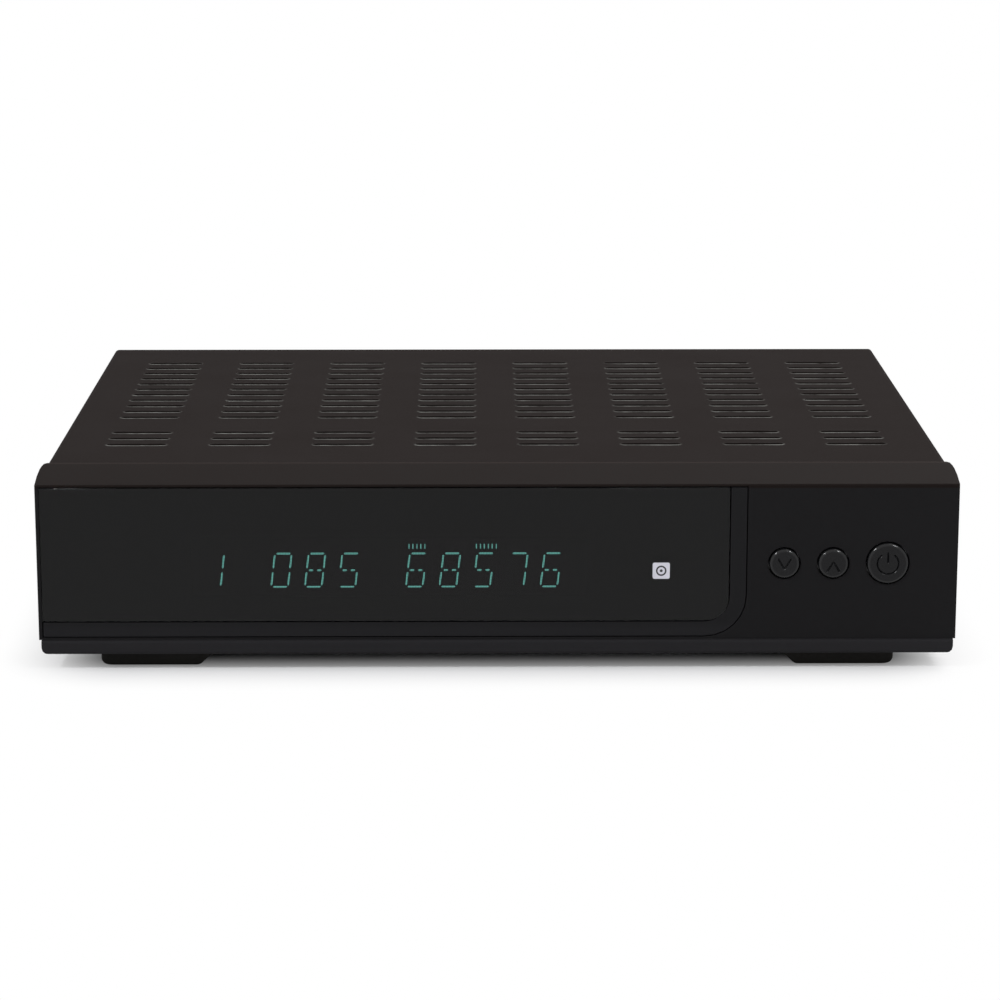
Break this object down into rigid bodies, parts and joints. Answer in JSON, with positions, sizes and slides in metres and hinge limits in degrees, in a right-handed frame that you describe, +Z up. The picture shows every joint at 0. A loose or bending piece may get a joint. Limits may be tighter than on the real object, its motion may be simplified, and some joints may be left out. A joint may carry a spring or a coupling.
{
  "type": "satellite television receiver",
  "caption": "Flat set-top receiver: moulded front with tinted display window and round push buttons, slotted steel cover, tray on feet, rear sockets and a mains rocker.",
  "frame": {"origin": "on the resting plane under the middle of the whole box, rear sockets and buttons included", "axes": "+X to the right seen from the front, the front face looks along -Y, +Z up"},
  "size_m": [0.26, 0.2064, 0.0574],
  "materials": {
    "panel": "fine satin",
    "window": "tinted, polished",
    "cap": "semi gloss",
    "cover": "fine textured paint",
    "steel": "galvanised",
    "foot": "matte",
    "screw": "blackened",
    "board": "solder mask",
    "display_glass": "clear over dark",
    "black_plastic": "moulded",
    "grey_plastic": "moulded",
    "tinned": "tinned",
    "nickel": "nickel plated",
    "chip": "moulded",
    "aluminium": "extruded",
    "winding": "tape over ferrite",
    "sleeve": "shrink sleeve",
    "fuse_glass": "clear",
    "insulator": "polyester sheet",
    "ribbon": "flat cable",
    "harness": "wire insulation",
    "wire": "wire insulation",
    "yellow": "moulded",
    "white": "moulded",
    "red": "moulded",
    "orange": "moulded"
  },
  "bodies": {
    "receiver": {"front_panel": "panel", "display_window": "window", "window_trim": "panel", "button_guide": "black_plastic", "front_board": "board", "display_tube": "display_glass", "infrared_receiver": "black_plastic", "top_cover": "cover", "chassis_tray": "steel", "rear_panel": "steel", "foot_front_left": "foot", "foot_front_right": "foot", "foot_rear_left": "foot", "foot_rear_right": "foot", "foot_screw_front_left": "screw", "foot_screw_front_right": "screw", "foot_screw_rear_left": "screw", "foot_screw_rear_right": "screw", "cover_screw_rear_left": "screw", "cover_screw_rear_right": "screw", "cover_screw_left": "screw", "cover_screw_right": "screw", "main_board": "board", "power_supply_board": "board", "insulating_sheet": "insulator", "processor_chip": "chip", "processor_heat_sink": "aluminium", "memory_chip": "chip", "tuner_can": "tinned", "aerial_socket_in": "nickel", "aerial_socket_out": "nickel", "av_socket_21_pin": "black_plastic", "phono_socket_block": "black_plastic", "phono_socket_left": "white", "phono_socket_right": "red", "phono_socket_picture": "yellow", "digital_audio_socket": "orange", "digital_video_socket": "nickel", "network_socket": "tinned", "data_socket": "nickel", "mains_inlet": "black_plastic", "mains_switch_housing": "black_plastic", "transformer": "winding", "mains_capacitor": "sleeve", "output_capacitor": "sleeve", "supply_heat_sink": "aluminium", "fuse": "fuse_glass", "ribbon_cable": "ribbon", "supply_harness": "harness", "mains_wire_live": "wire", "mains_wire_neutral": "wire", "mains_wire_link": "wire"},
    "channel_down_button": {"button_channel_down": "cap", "switch_plunger_channel_down": "grey_plastic"},
    "channel_up_button": {"button_channel_up": "cap", "switch_plunger_channel_up": "grey_plastic"},
    "power_button": {"button_power": "cap", "switch_plunger_power": "grey_plastic"},
    "mains_rocker": {"mains_switch_rocker": "cap"}
  },
  "joints": [
    {"name": "channel_down_press", "type": "slide", "parent": "receiver", "child": "channel_down_button", "axis": [0, 1, 0], "range_m": [0, 0.0006], "stiffness_N_per_m": 1500},
    {"name": "channel_up_press", "type": "slide", "parent": "receiver", "child": "channel_up_button", "axis": [0, 1, 0], "range_m": [0, 0.0006], "stiffness_N_per_m": 1500},
    {"name": "power_press", "type": "slide", "parent": "receiver", "child": "power_button", "axis": [0, 1, 0], "range_m": [0, 0.0006], "stiffness_N_per_m": 1500},
    {"name": "mains_rocker_swing", "type": "hinge", "parent": "receiver", "child": "mains_rocker", "pos_m": [-0.11285, 0.0932, 0.028], "axis": [1, 0, 0], "range_deg": [-16, 0]}
  ]
}
